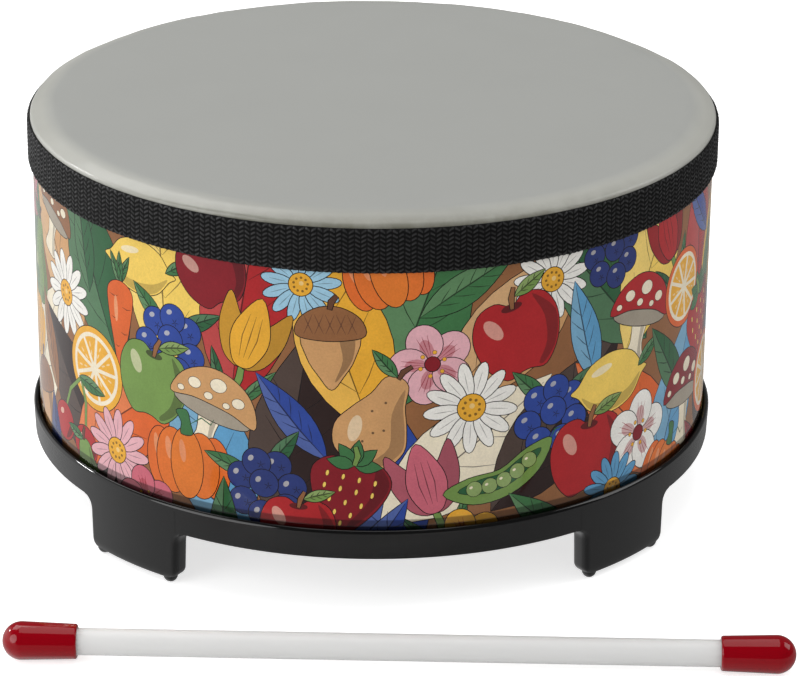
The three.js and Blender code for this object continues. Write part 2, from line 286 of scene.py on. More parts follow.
class Nodes:
    """A small writer of the node tree of a material or the world."""

    def __init__(self, owner, shader="Principled BSDF"):
        owner.use_nodes = True
        self.owner = owner
        self.tree = owner.node_tree
        self.shader = self.tree.nodes[shader]

    def add(self, kind, inputs=None, **settings):
        node = self.tree.nodes.new(kind)
        for key, value in settings.items():
            setattr(node, key, value)
        for key, value in (inputs or {}).items():
            self.feed(node.inputs[key], value)
        return node

    def feed(self, socket, value):
        if isinstance(value, bpy.types.NodeSocket):
            self.tree.links.new(value, socket)
        else:
            socket.default_value = value

    def set(self, **values):
        for key, value in values.items():
            self.feed(self.shader.inputs[key.replace("_", " ")], value)

    def source(self, name):
        """The output that feeds an input of the shader."""
        return self.shader.inputs[name].links[0].from_socket

    def noise(self, scale, detail, roughness, vector):
        inputs = {"Scale": scale, "Detail": detail, "Roughness": roughness, "Vector": vector}
        return self.add("ShaderNodeTexNoise", inputs).outputs["Fac"]

    def ranged(self, value, low, high, from_low=0.0, from_high=1.0):
        inputs = {"Value": value, "From Min": from_low, "From Max": from_high, "To Min": low, "To Max": high}
        return self.add("ShaderNodeMapRange", inputs).outputs["Result"]

    def mix(self, factor, first, second, blend="MIX"):
        inputs = {0: factor, 6: first, 7: second}
        return self.add("ShaderNodeMix", inputs, data_type="RGBA", blend_type=blend).outputs[2]

    def blend(self, factor, first, second):
        return self.add("ShaderNodeMix", {0: factor, 2: first, 3: second}).outputs[0]

    def maths(self, operation, first, second=0.0):
        return self.add("ShaderNodeMath", {0: first, 1: second}, operation=operation).outputs[0]

    def times(self, first, *others):
        for other in others:
            first = self.maths("MULTIPLY", first, other)
        return first

    def vector(self, operation, first, second=(0, 0, 0)):
        return self.add("ShaderNodeVectorMath", {0: first, 1: second}, operation=operation).outputs

    def split(self, vector):
        return self.add("ShaderNodeSeparateXYZ", {"Vector": vector}).outputs

    def bump(self, height, distance):
        return self.add("ShaderNodeBump", {"Height": height, "Distance": distance}).outputs["Normal"]

    def place(self):
        return self.add("ShaderNodeTexCoord").outputs["Object"]

    def colours(self, layer):
        return self.add("ShaderNodeVertexColor", layer_name=layer).outputs["Color"]


def new_nodes(name):
    return Nodes(bpy.data.materials.new(name))


def grey(value):
    return linear((value, value, value))


def moulded_plastic(name, colour, roughness, variation, grain=2200.0, depth=0.004 * MM):
    """Smooth moulded plastic: faint cloudiness in colour and gloss, and a fine skin."""
    nodes = new_nodes(name)
    place = nodes.place()
    cloud = nodes.noise(35.0, 4.0, 0.6, place)
    dark = [channel * (1 - variation) for channel in linear(colour)[:3]] + [1.0]
    light = [min(1.0, channel * (1 + variation)) for channel in linear(colour)[:3]] + [1.0]
    nodes.set(Base_Color=nodes.mix(cloud, dark, light))
    nodes.set(Roughness=nodes.ranged(cloud, roughness * 0.9, roughness * 1.1))
    nodes.set(Normal=nodes.bump(nodes.noise(grain, 2.0, 0.5, place), depth))
    return nodes


def head_material():
    """Matt grey film. Its turn is paler, with painted shade darkening it at the front left and, in blotches,
    beside the webbing.
    """
    nodes = moulded_plastic("head_film", HEAD_GREY, HEAD_ROUGHNESS, 0.025, 900.0, 0.006 * MM)
    place = nodes.place()
    spot = nodes.split(place)
    level = nodes.vector("MULTIPLY", nodes.vector("ADD", place, (-axis_x, -axis_y, 0))[0], (1, 1, 0))[0]
    out = nodes.vector("LENGTH", level)["Value"]
    turning = nodes.ranged(out, 0, 1, head_radius - RIM_WIDTH, head_radius - 0.45 * RIM_WIDTH)
    low = nodes.ranged(spot["Z"], 1, 0, band_high.z + PAINTED_SHADE_ABOVE_BAND, head_high.z)
    in_front = nodes.ranged(spot["Y"], 1, 0.12, axis_y - 0.98 * head_radius, axis_y - 0.6 * head_radius)
    at_left = nodes.ranged(spot["X"], 1, 0, axis_x + 0.1 * head_radius, axis_x + 0.5 * head_radius)
    # Painted shade: the rim darkens towards the front left and stays pale at the back and right.
    rim = nodes.mix(nodes.times(in_front, at_left), linear(RIM_PALE), linear(RIM_FRONT_PAINTED_SHADE))
    colour = nodes.mix(turning, nodes.source("Base Color"), rim)
    blotches = nodes.ranged(nodes.noise(160.0, 3.0, 0.6, place), 0.6, 1.0, 0.3, 0.6)
    # Painted shade: the rim darkens in blotches towards the webbing, most at the front.
    nodes.set(Base_Color=nodes.mix(nodes.times(low, in_front, blotches), colour, linear(RIM_LOW_PAINTED_SHADE)))
    nodes.set(Roughness=nodes.ranged(turning, HEAD_ROUGHNESS, RIM_ROUGHNESS))
    return nodes.owner


def webbing_material():
    """Black nylon yarn: deep gaps painted near-black as shade, and a soft sheen on the crest of each float."""
    nodes = new_nodes("woven_webbing")
    place = nodes.place()
    arch, wave, sheen = nodes.add("ShaderNodeSeparateColor", {"Color": nodes.colours("weave")}).outputs
    floats = nodes.times(nodes.ranged(arch, 0, 1, 0.1, 0.5), nodes.ranged(wave, 0, 1, 0.36, 0.85),
                         nodes.ranged(sheen, 0.5, 1.15))
    crest = nodes.mix(nodes.noise(1500.0, 3.0, 0.6, place), linear(YARN_DULL), linear(YARN_BRIGHT))
    # Painted shade: the gaps between the floats are near-black.
    nodes.set(Base_Color=nodes.mix(floats, grey(2), crest))
    nodes.set(Roughness=nodes.ranged(floats, 0.9, 0.32), Specular_IOR_Level=0.4)
    nodes.set(Normal=nodes.bump(nodes.noise(4200.0, 2.0, 0.5, place), 0.04 * MM))
    return nodes.owner


def print_material():
    """Printed film under a clear laminate: mottled inks, a painted shadow of the lip darkening its foot, and
    all the gloss in the coat.
    """
    nodes = new_nodes("printed_film")
    place = nodes.place()
    speckle = nodes.mix(nodes.noise(1300.0, 3.0, 0.7, place), grey(230), grey(274))
    wash = nodes.mix(nodes.noise(90.0, 4.0, 0.6, place), grey(232), grey(272))
    ink = nodes.mix(1.0, nodes.mix(1.0, nodes.colours("ink"), speckle, "MULTIPLY"), wash, "MULTIPLY")
    height = nodes.split(place)["Z"]
    # Painted shadow of the lip: the film darkens in two steps towards its foot.
    lit = 1.0
    for share, above, blur in LIP_SHADES:
        edge = ring_high.z + above
        lit = nodes.times(nodes.ranged(height, share, 1.0, edge - blur, edge + blur), lit)
    nodes.set(Base_Color=nodes.mix(lit, BLACK, ink), Roughness=0.5, Specular_IOR_Level=0.0)
    nodes.set(Coat_Weight=1.0, Coat_Roughness=0.05, Coat_IOR=1.42)
    return nodes.owner


def black_plastic_material():
    """Satin on the sides and polished on the lip, with a fine mould line over each front leg's inner end."""
    nodes = moulded_plastic("black_plastic", BODY_BLACK, 0.24, 0.08)
    spot = nodes.split(nodes.place())
    polish_start = ring_high.z - POLISH_DEPTH
    nodes.set(Roughness=nodes.ranged(spot["Z"], SATIN_ROUGHNESS, POLISHED_ROUGHNESS, polish_start,
                                     polish_start + POLISH_EDGE))
    clear = 1.0
    for offset in MOULD_LINES:
        away = nodes.maths("ABSOLUTE", nodes.maths("SUBTRACT", spot["X"], axis_x + offset))
        clear = nodes.times(nodes.ranged(away, 0, 1, *MOULD_LINE_HALF), clear)
    in_front = nodes.ranged(spot["Y"], 1, 0, axis_y - 20 * MM, axis_y)
    above_foot = nodes.ranged(spot["Z"], 0, 1, *MOULD_LINE_FOOT)
    below_top = nodes.ranged(spot["Z"], 1, 0, *MOULD_LINE_TOP)
    groove = nodes.times(in_front, above_foot, below_top, nodes.maths("SUBTRACT", 1.0, clear))
    nodes.set(Base_Color=nodes.mix(groove, nodes.source("Base Color"), BLACK))
    skin = nodes.source("Normal").node
    nodes.feed(skin.inputs["Normal"], nodes.bump(nodes.maths("SUBTRACT", 1.0, groove), MOULD_LINE_DEPTH))
    return nodes.owner


def fibre_material():
    nodes = new_nodes("pressed_fibre")
    strands = nodes.noise(700.0, 5.0, 0.7, nodes.place())
    nodes.set(Base_Color=nodes.mix(strands, linear(FIBRE_DARK), linear(FIBRE_PALE)), Roughness=0.85)
    nodes.set(Normal=nodes.bump(strands, 0.15 * MM))
    return nodes.owner


# The printed wrap

INK = (20, 12, 13)
NIGHT = (44, 28, 26)
RED = (176, 36, 40)
CRIMSON = (134, 28, 38)
BLUE = (46, 72, 154)
NAVY = (42, 56, 116)
SKY = (96, 158, 200)
PALE_SKY = (158, 200, 222)
GREEN = (64, 116, 70)
DEEP_GREEN = (46, 96, 60)
LEAF = (118, 150, 78)
GOLD = (234, 172, 54)
YELLOW = (245, 208, 100)
TAN = (206, 156, 104)
CREAM = (242, 230, 204)
BROWN = (146, 98, 62)
DARK_BROWN = (102, 66, 48)
ORANGE = (222, 102, 46)
PINK = (230, 176, 184)
ROSE = (204, 104, 120)
WHITE = (244, 241, 234)

OVAL_POINTS = 20
FILM_COLUMNS = ROUND_STEPS // 3

# In millimetres, like all of the flat print
OUTLINE = 0.32
THINNING = 0.035
CUT_MARGIN = 1e-3

# In square millimetres: shapes that can hide others, and shapes that are tested at more places
COVERING_AREA = 5
SMALL_AREA = 4


def smooth_loop(points):
    """A closed Catmull-Rom curve through a few points, with three more points between each two."""
    count = len(points)
    curve = []
    for i in range(count):
        a, b, c, d = (Vector(points[(i + k) % count]) for k in (-1, 0, 1, 2))
        for t in (0, 0.25, 0.5, 0.75):
            cubic = 3 * b - a - 3 * c + d
            blend = 2 * b + (c - a) * t + (2 * a - 5 * b + 4 * c - d) * t * t + cubic * t ** 3
            curve.append(blend / 2)
    return curve


def petal(x, y, length, width, turn, points):
    """A pointed leaf shape from a place, in the direction turn. All but the turn is in hundredths."""
    spin = Matrix.Rotation(turn, 2)
    shares = [i / points for i in range(points + 1)]
    side = [Vector((length / 100 * s, width / 100 * math.sin(math.pi * s ** 0.85))) for s in shares]
    other = [Vector((p.x, -p.y)) for p in side[-2:0:-1]]
    return [Vector((x / 100, y / 100)) + spin @ p for p in side + other]


def stroke(points, width, taper):
    """A drawn line along a few points, thinner at its ends."""
    path = [Vector(p) for p in points]
    left = []
    right = []
    for i, here in enumerate(path):
        ahead = path[min(i + 1, len(path) - 1)] - path[max(i - 1, 0)]
        side = Vector((-ahead.y, ahead.x)).normalized()
        share = i / (len(path) - 1)
        half = width / 2 * (taper + (1 - taper) * math.sin(math.pi * share))
        left.append(here + side * half)
        right.append(here - side * half)
    return left + right[::-1]


def area(points):
    return sum(a.x * b.y - b.x * a.y for a, b in zip(points, points[1:] + points[:1])) / 2


def grown(points, by):
    """The outline moved outwards by an even amount."""
    count = len(points)
    out = []
    for i, here in enumerate(points):
        along = points[(i + 1) % count] - points[i - 1]
        normal = Vector((along.y, -along.x)).normalized()
        out.append(here + normal * by)
    return out


def thinned(points):
    """The outline without the points that lie on the line between their neighbours."""
    kept = points[:1]
    for here, ahead in zip(points[1:], points[2:] + points[:1]):
        way = ahead - kept[-1]
        if abs(way.cross(here - kept[-1])) > THINNING * way.length or way.length < THINNING:
            kept.append(here)
    return kept if len(kept) > 2 else points


def covers(outline, point):
    inside = False
    for a, b in zip(outline, outline[1:] + outline[:1]):
        if (a.y > point.y) != (b.y > point.y) and point.x < (b.x - a.x) * (point.y - a.y) / (b.y - a.y) + a.x:
            inside = not inside
    return inside


def unhidden(shapes):
    """The shapes of which something shows: each is tested against the larger ones drawn after it."""
    boxes = [(min(p.x for p in o), min(p.y for p in o), max(p.x for p in o), max(p.y for p in o))
             for o, _ in shapes]
    covering = [i for i, (outline, _) in enumerate(shapes) if area(outline) > COVERING_AREA]
    seen = []
    for i, (outline, colour) in enumerate(shapes):
        low_x, low_y, high_x, high_y = boxes[i]
        above = [shapes[j][0] for j in covering if j > i and boxes[j][0] < high_x and boxes[j][1] < high_y
                 and boxes[j][2] > low_x and boxes[j][3] > low_y]
        if area(outline) < SMALL_AREA:
            middles = [(a + b) / 2 for a, b in zip(outline, outline[1:] + outline[:1])]
            hidden = all(any(covers(other, point) for other in above) for point in outline + middles)
        else:
            hidden = any(all(covers(other, point) for point in outline) for other in above)
        if not hidden:
            seen.append((outline, colour))
    return seen


def hundredths(points):
    """Places given in hundredths of a motif's size, as shares of it."""
    return [(x / 100, y / 100) for x, y in points]


def polar(radius, angle):
    return radius * math.cos(angle), radius * math.sin(angle)


def mirrored(half):
    """An outline from its left or right half. Places on the middle line stay single."""
    return half + [(-x, y) for x, y in half[::-1] if x != 0]


class Pen:
    """Draws a motif on the flat print, one shape over another, in hundredths of the motif's size."""

    def __init__(self, shapes, origin, size, spin, colour):
        self.shapes = shapes
        self.origin = origin
        self.size = size
        self.spin = spin
        self.colour = colour

    def at(self, x, y, share, turn, colour):
        """A smaller pen at a place of this one."""
        origin = self.origin + self.spin @ (Vector((x / 100, y / 100)) * self.size)
        return Pen(self.shapes, origin, self.size * share, self.spin @ Matrix.Rotation(turn, 2), colour)

    def fill(self, points, colour, outline=OUTLINE):
        placed = [self.origin + self.spin @ (Vector(p) * self.size) for p in points]
        if area(placed) < 0:
            placed.reverse()
        if outline:
            self.shapes.append((thinned(grown(placed, outline)), INK))
        self.shapes.append((thinned(placed), colour))

    def blob(self, points, colour=None, outline=OUTLINE):
        self.fill(smooth_loop(hundredths(points)), colour or self.colour, outline)

    def shade(self, points, share=0.28):
        self.blob(points, darker(self.colour, share), 0)

    def shine(self, x, y, width, height, share, turn, points=OVAL_POINTS):
        self.oval(x, y, width, height, lighter(self.colour, share), 0, turn, points)

    def oval(self, x, y, width, height, colour, outline=OUTLINE, turn=0.0, points=OVAL_POINTS):
        middle = Vector((x / 100, y / 100))
        spin = Matrix.Rotation(turn, 2)
        angles = [TURN * i / points for i in range(points)]
        outs = [Vector((width / 100 * math.cos(a), height / 100 * math.sin(a))) for a in angles]
        self.fill([middle + spin @ out for out in outs], colour, outline)

    def dot(self, x, y, radius, colour, outline=0):
        self.oval(x, y, radius, radius, colour, outline, 0, 8)

    def stem(self, points, width, colour, taper, outline=OUTLINE):
        self.fill(stroke(hundredths(points), width / 100, taper), colour, outline)

    def line(self, points, width, colour):
        """A line of a width in millimetres, whatever the size of the motif."""
        self.fill(stroke(hundredths(points), width / self.size, 0.3), colour, 0)

    def crease(self, points, width, share):
        self.line(points, width, darker(self.colour, share))


def mixed(first, second, share):
    return tuple(a + (b - a) * share for a, b in zip(first, second))


def darker(colour, share):
    return mixed(colour, INK, share)


def lighter(colour, share):
    return mixed(colour, CREAM, share)


def leaf(pen, width=30, veins=4):
    outline = petal(-100, 0, 200, width, 0, 10)
    pen.fill(outline, pen.colour)
    pen.fill(outline[:11] + [Vector((-0.2, 0.04))], lighter(pen.colour, 0.18), 0)
    pen.crease([(-100, 0), (-30, 3), (30, 2), (90, 0)], 0.6, 0.55)
    for i in range(veins):
        x = -60 + 120 * i / veins
        reach = width * (0.75 - 0.1 * abs(i - veins / 2))
        for side in (1, -1):
            pen.crease([(x, 0), (x + 14, side * reach * 0.5), (x + 32, side * reach)], 0.4, 0.5)


def apple(pen):
    pen.blob([(0, 68), (34, 86), (78, 70), (98, 18), (84, -44), (46, -88), (10, -82), (-12, -82), (-48, -88),
              (-86, -44), (-98, 20), (-76, 72), (-34, 86)])
    pen.shade([(50, 78), (94, 20), (80, -46), (44, -82), (30, -78), (58, -40), (66, 20)])
    pen.shine(-50, 32, 15, 28, 0.6, 0.5)
    pen.oval(0, 66, 24, 9, darker(pen.colour, 0.5), 0)
    pen.stem([(0, 62), (4, 86), (14, 108)], 12, BROWN, 0.6)
    leaf(pen.at(52, 102, 0.42, 0.35, LEAF), 36, 3)


def pear(pen):
    pen.blob(mirrored([(0, 110), (26, 98), (38, 55), (62, 10), (78, -38), (56, -86), (0, -102)]))
    pen.shade([(22, 90), (36, 50), (60, 6), (74, -38), (52, -82), (24, -90), (46, -40), (20, 30)], 0.22)
    pen.shine(-36, -30, 14, 30, 0.6, 0.2)
    for x, y in ((-10, -50), (12, -66), (2, -24), (-20, 20), (-2, 48), (20, -10)):
        pen.dot(x, y, 3, darker(pen.colour, 0.5))
    pen.stem([(0, 106), (2, 124), (14, 142)], 11, DARK_BROWN, 0.6)
    leaf(pen.at(-40, 126, 0.4, 2.7, GREEN), 36, 3)


def citrus(pen):
    wedges = 9
    pen.oval(0, 0, 100, 100, pen.colour, points=40)
    pen.oval(0, 0, 86, 86, CREAM, 0, points=40)
    for i in range(wedges):
        middle = TURN * i / wedges
        half = TURN / wedges * 0.42
        rim = [polar(76, middle + half * share) for share in (-1, -0.5, 0, 0.5, 1)]
        pen.fill(hundredths([polar(14, middle)] + rim), GOLD, 0)
        for out in (38, 58):
            pen.oval(*polar(out, middle + 0.08), 7, 2.2, lighter(GOLD, 0.7), 0, middle, 8)


def lemon(pen):
    pen.blob([(112, 2), (94, 14), (60, 52), (0, 68), (-60, 52), (-94, 14), (-114, 0), (-94, -14), (-60, -52),
              (0, -68), (60, -52), (94, -12)])
    pen.shade([(90, -6), (50, -30), (0, -40), (-50, -36), (-86, -14), (-58, -50), (0, -64), (58, -50)], 0.2)
    pen.shine(-30, 34, 30, 9, 0.8, 0.2)
    leaf(pen.at(120, 34, 0.44, 0.6, GREEN), 34, 3)


def strawberry(pen):
    pen.blob(mirrored([(0, 72), (50, 86), (88, 52), (80, -2), (42, -66), (0, -102)]))
    pen.shade([(50, 80), (84, 50), (76, 0), (36, -64), (16, -70), (50, 0)])
    for row, count in ((42, 4), (12, 4), (-18, 3), (-46, 2), (-70, 1)):
        for i in range(count):
            pen.oval((i - (count - 1) / 2) * 36, row, 3.5, 7, YELLOW, 0.12, points=8)
    for i in range(5):
        pen.fill(petal(0, 74, 62, 15, math.pi * (0.04 + 0.24 * i), 5), GREEN)
    pen.stem([(0, 74), (2, 98), (-8, 118)], 12, LEAF, 0.7)


def daisy(pen):
    for i in range(13):
        angle = TURN * i / 13
        pen.oval(*polar(62, angle), 40, 15, pen.colour, OUTLINE, angle, 16)
        pen.crease([polar(62 * share, angle) for share in (0.6, 1.0, 1.3)], 0.35, 0.3)
    pen.oval(0, 0, 30, 30, GOLD, points=20)
    for i in range(9):
        pen.dot(*polar(18, TURN * i / 9), 3.5, darker(GOLD, 0.45))
    pen.oval(2, 3, 6, 6, lighter(GOLD, 0.5), 0, points=10)


def blossom(pen):
    for i in range(5):
        angle = TURN * (i + 0.25) / 5
        pen.oval(*polar(52, angle), 44, 40, pen.colour, OUTLINE, angle, 22)
        pen.oval(*polar(52 * 0.72, angle), 24, 15, mixed(pen.colour, CRIMSON, 0.3), 0, angle, 14)
        for spread in (-0.18, 0, 0.18):
            vein = [polar(out, angle + spread) for out in (20, 50, 70)]
            pen.line(vein, 0.35, mixed(pen.colour, CRIMSON, 0.75))
    pen.oval(0, 0, 17, 17, CRIMSON, points=14)
    for i in range(6):
        pen.dot(*polar(28, TURN * i / 6), 4.5, GOLD, 0.15)


def tulip(pen):
    pen.stem([(0, -60), (5, -100), (0, -150)], 16, LEAF, 0.8)
    leaf(pen.at(50, -106, 0.62, 1.1, GREEN), 22, 3)
    leaf(pen.at(-48, -110, 0.6, 2.1, DEEP_GREEN), 22, 3)
    left = [(-72, 90), (-34, 42), (0, 10), (2, -70), (-42, -62), (-72, -10), (-80, 40)]
    pen.blob(left, darker(pen.colour, 0.15))
    pen.blob([(-x, y) for x, y in left], darker(pen.colour, 0.22))
    pen.blob(mirrored([(0, 100), (36, 42), (44, -10), (24, -62), (0, -74)]))
    for x in (-18, 0, 18):
        pen.crease([(x * 0.6, -50), (x, 0), (x * 0.8, 55)], 0.4, 0.5)


def mushroom(pen):
    pen.blob(mirrored([(-24, 10), (-20, -50), (-36, -96), (0, -106)]), CREAM)
    pen.blob([(6, 10), (8, -50), (16, -96), (30, -92), (17, -50), (20, 10)], darker(CREAM, 0.25), 0)
    pen.oval(0, 6, 92, 20, darker(CREAM, 0.35))
    pen.blob([(-102, 8), (-86, 60), (-40, 96), (10, 102), (60, 84), (92, 50), (102, 8), (50, 20), (0, 23),
              (-50, 20)])
    for x, y, size in ((-52, 52, 15), (2, 70, 19), (54, 50, 14), (-14, 38, 10), (30, 34, 8), (-80, 26, 8)):
        pen.oval(x, y, size, size * 0.8, CREAM, 0.2, 0.2, 14)


def acorn(pen):
    pen.blob(mirrored([(-58, 20), (-52, -36), (-26, -80), (0, -110)]))
    pen.shade([(20, 16), (26, -40), (8, -90), (22, -78), (48, -36), (52, 16)])
    pen.blob(mirrored([(-76, 18), (-66, 56), (-24, 82)]) + [(30, 6), (-30, 6)], BROWN)
    for i in range(5):
        x = -48 + 24 * i
        for lean in (-10, 10):
            pen.line([(x + lean, 20), (x, 42), (x - lean, 66)], 0.35, DARK_BROWN)
    pen.stem([(0, 78), (4, 96), (16, 110)], 13, DARK_BROWN, 0.7)


def berries(pen):
    leaf(pen.at(-70, 62, 0.6, 2.5, GREEN), 32, 3)
    leaf(pen.at(70, 66, 0.6, 0.6, DEEP_GREEN), 32, 3)
    for x, y in ((-46, 28), (44, 34), (0, 52), (-62, -30), (60, -24), (0, 0), (-28, -70), (32, -68)):
        pen.oval(x, y, 33, 33, pen.colour, points=22)
        pen.shine(x - 10, y + 12, 8, 6, 0.65, 0.6, 10)
        for i in range(5):
            ray = [polar(out, TURN * i / 5) for out in (0, 5, 10)]
            pen.crease([(x + 8 + across, y - 8 + up) for across, up in ray], 0.35, 0.6)


def pumpkin(pen):
    for x, width in ((-68, 36), (68, 36), (-36, 42), (36, 42), (0, 40)):
        pen.oval(x, 0, width, 80 - 0.16 * abs(x), mixed(pen.colour, GOLD, 0.3 - 0.003 * abs(x)), points=26)
        pen.shine(x - 10, 26, width * 0.2, 26, 0.35, 0.1, 14)
    pen.blob([(-12, 66), (-10, 92), (-22, 116), (4, 120), (12, 92), (16, 68)], GREEN)
    pen.line([(10, 90), (40, 110), (62, 98), (70, 112)], 0.6, DEEP_GREEN)


def pea_pod(pen):
    pen.blob(mirrored([(-130, 20), (-80, -30), (0, -48)]) + mirrored([(70, 30), (0, 16)]))
    pen.blob(mirrored([(-100, 12), (-60, -14), (0, -26)]) + mirrored([(50, 16), (0, 6)]), DEEP_GREEN, 0.2)
    for i in range(5):
        x = -66 + 33 * i
        y = -10 + 0.0028 * x * x
        pen.oval(x, y, 17, 17, lighter(pen.colour, 0.2), 0.2, points=16)
        pen.oval(x - 5, y + 6, 4, 3, CREAM, 0, points=8)
    pen.line([(128, 20), (144, 34), (160, 30)], 0.7, DEEP_GREEN)


def cherries(pen):
    pen.stem([(-45, -10), (-25, 50), (20, 100)], 9, LEAF, 0.8, 0.2)
    pen.stem([(50, -20), (44, 50), (20, 100)], 9, LEAF, 0.8, 0.2)
    leaf(pen.at(62, 100, 0.5, 0, GREEN), 32, 3)
    for x, y in ((-48, -42), (52, -50)):
        pen.oval(x, y, 46, 44, pen.colour, points=26)
        pen.shade([(x + 12, y - 38), (x + 38, y - 16), (x + 40, y + 10), (x + 24, y - 6)], 0.4)
        pen.shine(x - 16, y + 16, 10, 7, 0.7, 0.6, 10)


def carrot(pen):
    for turn in (1.1, 1.57, 2.0):
        leaf(pen.at(25 * math.cos(turn), 90 + 10 * math.sin(turn), 0.42, turn, GREEN), 24, 3)
    pen.blob(mirrored([(0, -130), (16, -80), (34, 0), (38, 50), (16, 72)]))
    for x, y, reach in ((-32, 40, 26), (34, 18, -26), (-28, -10, 22), (24, -40, -20), (-14, -72, 14)):
        pen.crease([(x, y), (x + reach / 2, y - 3), (x + reach, y)], 0.4, 0.5)
    pen.shine(-12, 10, 6, 30, 0.4, 0.05, 12)


PERIOD = TURN * wrap_radius / MM / 2
PRINT_FOOT = wrap_low.z / MM
PRINT_TOP = wrap_high.z / MM

# The colours of the large leaves behind the motifs
BACKGROUND = [BLUE, DEEP_GREEN, NIGHT, TAN, SKY, GREEN, ORANGE, GOLD, NIGHT, RED, CREAM, YELLOW]

# Back to front: the height of each row, and its motifs from left to right with their sizes and colours
ROWS = [
    (124, [(pumpkin, 15, ORANGE), (leaf, 20, GREEN), (daisy, 15, WHITE), (berries, 14, NAVY),
           (tulip, 15, RED), (leaf, 19, BLUE), (pear, 14, GOLD), (blossom, 15, ROSE), (mushroom, 15, BROWN),
           (leaf, 20, DEEP_GREEN), (lemon, 15, YELLOW), (apple, 14, CRIMSON), (daisy, 14, PALE_SKY)]),
    (99, [(blossom, 16, PINK), (apple, 17, RED), (leaf, 21, SKY), (mushroom, 17, RED), (citrus, 15, ORANGE),
          (leaf, 20, GREEN), (cherries, 17, CRIMSON), (pear, 16, LEAF), (daisy, 16, WHITE),
          (carrot, 17, ORANGE), (berries, 16, BLUE), (tulip, 16, GOLD), (acorn, 16, TAN)]),
    (73, [(pear, 17, TAN), (daisy, 17, WHITE), (berries, 16, BLUE), (lemon, 17, YELLOW),
          (leaf, 22, DEEP_GREEN), (strawberry, 17, RED), (blossom, 17, SKY), (pumpkin, 18, GOLD),
          (leaf, 20, BROWN), (citrus, 16, GOLD), (apple, 16, LEAF), (mushroom, 17, TAN), (leaf, 20, BLUE)]),
    (48, [(tulip, 16, ROSE), (pea_pod, 17, LEAF), (apple, 17, RED), (blossom, 17, WHITE),
          (mushroom, 18, CRIMSON), (citrus, 16, ORANGE), (leaf, 21, GREEN), (acorn, 17, TAN),
          (cherries, 17, RED), (daisy, 16, PINK), (pumpkin, 17, ORANGE), (berries, 16, NAVY),
          (strawberry, 16, CRIMSON)]),
    (29, [(leaf, 20, BLUE), (blossom, 14, GOLD), (leaf, 20, GREEN), (daisy, 14, SKY), (pumpkin, 15, ORANGE),
          (leaf, 19, CRIMSON), (lemon, 14, YELLOW), (mushroom, 15, BROWN), (leaf, 20, NAVY), (pear, 14, LEAF),
          (blossom, 14, ROSE), (leaf, 19, DEEP_GREEN), (apple, 14, RED)]),
]


def printed_shapes():
    """The motifs of one repeat of the print, drawn back to front."""
    rng = random.Random(7)
    shapes = []

    def repeated(draw, x, y, size, turn, colour, *details):
        """Draws a motif, and what of it reaches over the ends of the repeat."""
        for shift in (-PERIOD, 0, PERIOD):
            if -50 < x + shift < PERIOD + 50:
                draw(Pen(shapes, Vector((x + shift, y)), size, Matrix.Rotation(turn, 2), colour), *details)

    count = 2 * len(BACKGROUND)
    for i in range(count):
        x = PERIOD * (i + rng.uniform(-0.2, 0.2)) / count
        y = PRINT_FOOT + (PRINT_TOP - PRINT_FOOT) * (0.75 if i % 2 else 0.3) + rng.uniform(-8, 8)
        repeated(leaf, x, y, 40, rng.uniform(0.6, 2.4), BACKGROUND[(5 * i) % len(BACKGROUND)], 42, 3)
    for number, (height, motifs) in enumerate(ROWS):
        pitch = PERIOD / len(motifs)
        for i, (draw, size, colour) in enumerate(motifs):
            x = pitch * (i + 0.5 * (number % 2) + rng.uniform(-0.12, 0.12))
            y = height + rng.uniform(-4.5, 4.5)
            turn = rng.uniform(-0.45, 0.45)
            if draw is leaf:
                turn = rng.uniform(0.5, 2.6)
            repeated(draw, x, y, size, turn, colour)
    return unhidden(shapes)


def mosaic(shapes, low, high):
    """One repeat of the print cut into triangles: the corners, and each triangle with its ink."""
    points = []
    faces = []
    for outline, _ in shapes:
        faces.append(list(range(len(points), len(points) + len(outline))))
        points.extend(outline)
    first = len(points)
    columns = FILM_COLUMNS // 2
    for i in range(columns + 1):
        x = low.x + (high.x - low.x) * i / columns
        points.extend((Vector((x, low.y)), Vector((x, high.y))))
    edges = [(first + 2 * i, first + 2 * i + 1) for i in range(columns + 1)]
    for start in range(first, first + 2 * columns, 2):
        edges.extend(((start, start + 2), (start + 1, start + 3)))
    flat, _, triangles, _, _, owners = delaunay_2d_cdt(points, edges, faces, 0, 1e-5)
    kept = []
    for corners, owner in zip(triangles, owners):
        middle = sum((flat[c] for c in corners), Vector((0, 0))) / len(corners)
        inside_x = low.x - CUT_MARGIN < middle.x < high.x + CUT_MARGIN
        if inside_x and low.y - CUT_MARGIN < middle.y < high.y + CUT_MARGIN:
            kept.append((corners, shapes[max(owner)][1] if owner else BROWN))
    return flat, kept


def laid_twice(flat, kept):
    """The repeat laid down twice, end to end: places, faces and inks. Corners that meet are one place."""
    used = sorted({c for corners, _ in kept for c in corners})
    index = {}
    tiles = []
    for copy in range(2):
        own = {}
        for c in used:
            spot = (round(flat[c].x + copy * PERIOD, 3), round(flat[c].y, 3))
            own[c] = index.setdefault(spot, len(index))
        for corners, ink in kept:
            face = [own[c] for c in corners]
            if len(set(face)) == len(face):
                tiles.append((face, ink))
    uses = Counter(frozenset(face) for face, _ in tiles)
    tiles = [(face, ink) for face, ink in tiles if uses[frozenset(face)] == 1]
    return list(index), [face for face, _ in tiles], [ink for _, ink in tiles]


